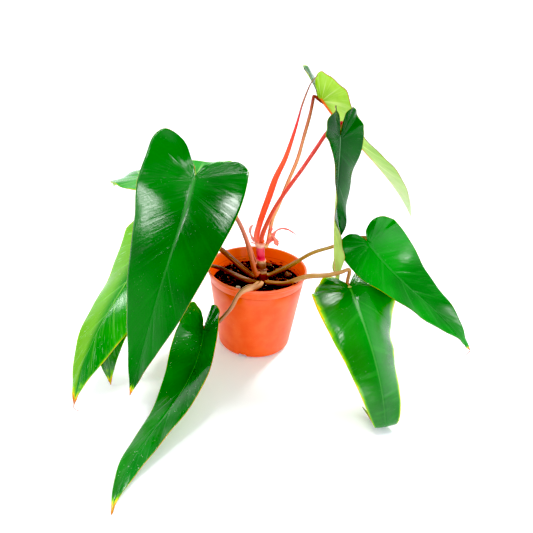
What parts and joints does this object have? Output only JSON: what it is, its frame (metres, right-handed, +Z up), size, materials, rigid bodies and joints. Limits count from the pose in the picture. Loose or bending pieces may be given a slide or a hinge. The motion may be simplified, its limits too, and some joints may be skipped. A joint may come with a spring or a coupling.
{
  "type": "potted philodendron",
  "caption": "Young red-stemmed philodendron in an orange nursery pot, with drooping arrow-shaped leaves on long petioles and a rolled new leaf.",
  "frame": {"origin": "centre of the pot's flat underside, which rests on the ground", "axes": "+Z up, -Y towards the plant's front, where the leaf that lies down to the ground points; +X to the right seen from the front"},
  "size_m": [0.452, 0.3742, 0.3296],
  "materials": {
    "pot_plastic": "thin injection-moulded plastic, orange, soft sheen",
    "soil_mix": "coarse dark potting mix with bark fibre",
    "bark": "rough bark and dry root",
    "pumice": "pale porous chip",
    "leaf": "glossy living leaf",
    "petiole": "smooth fleshy leaf stalk, red-brown to pink",
    "stem_skin": "smooth stem with pale leaf-scar rings",
    "sheath": "papery pink-red sheath"
  },
  "bodies": {
    "root": {"pot": "pot_plastic", "soil": "soil_mix", "stem": "stem_skin", "blade_big": "leaf", "petiole_big": "petiole", "blade_back_left": "leaf", "petiole_back_left": "petiole", "blade_left": "leaf", "petiole_left": "petiole", "blade_low_left": "leaf", "petiole_low_left": "petiole", "blade_front": "leaf", "petiole_front": "petiole", "blade_front_right": "leaf", "petiole_front_right": "petiole", "blade_right": "leaf", "petiole_right": "petiole", "blade_hanging": "leaf", "petiole_hanging": "petiole", "blade_top": "leaf", "petiole_top": "petiole", "new_leaf_rolled": "leaf", "new_leaf_sheath": "sheath", "old_sheath_curl": "sheath", "old_sheath_scrap": "sheath", "bark_chip_front": "bark", "bark_chip_left": "bark", "bark_chip_back": "bark", "bark_chip_right": "bark", "root_back": "bark", "root_right": "bark", "pumice_chip": "pumice"}
  },
  "joints": []
}
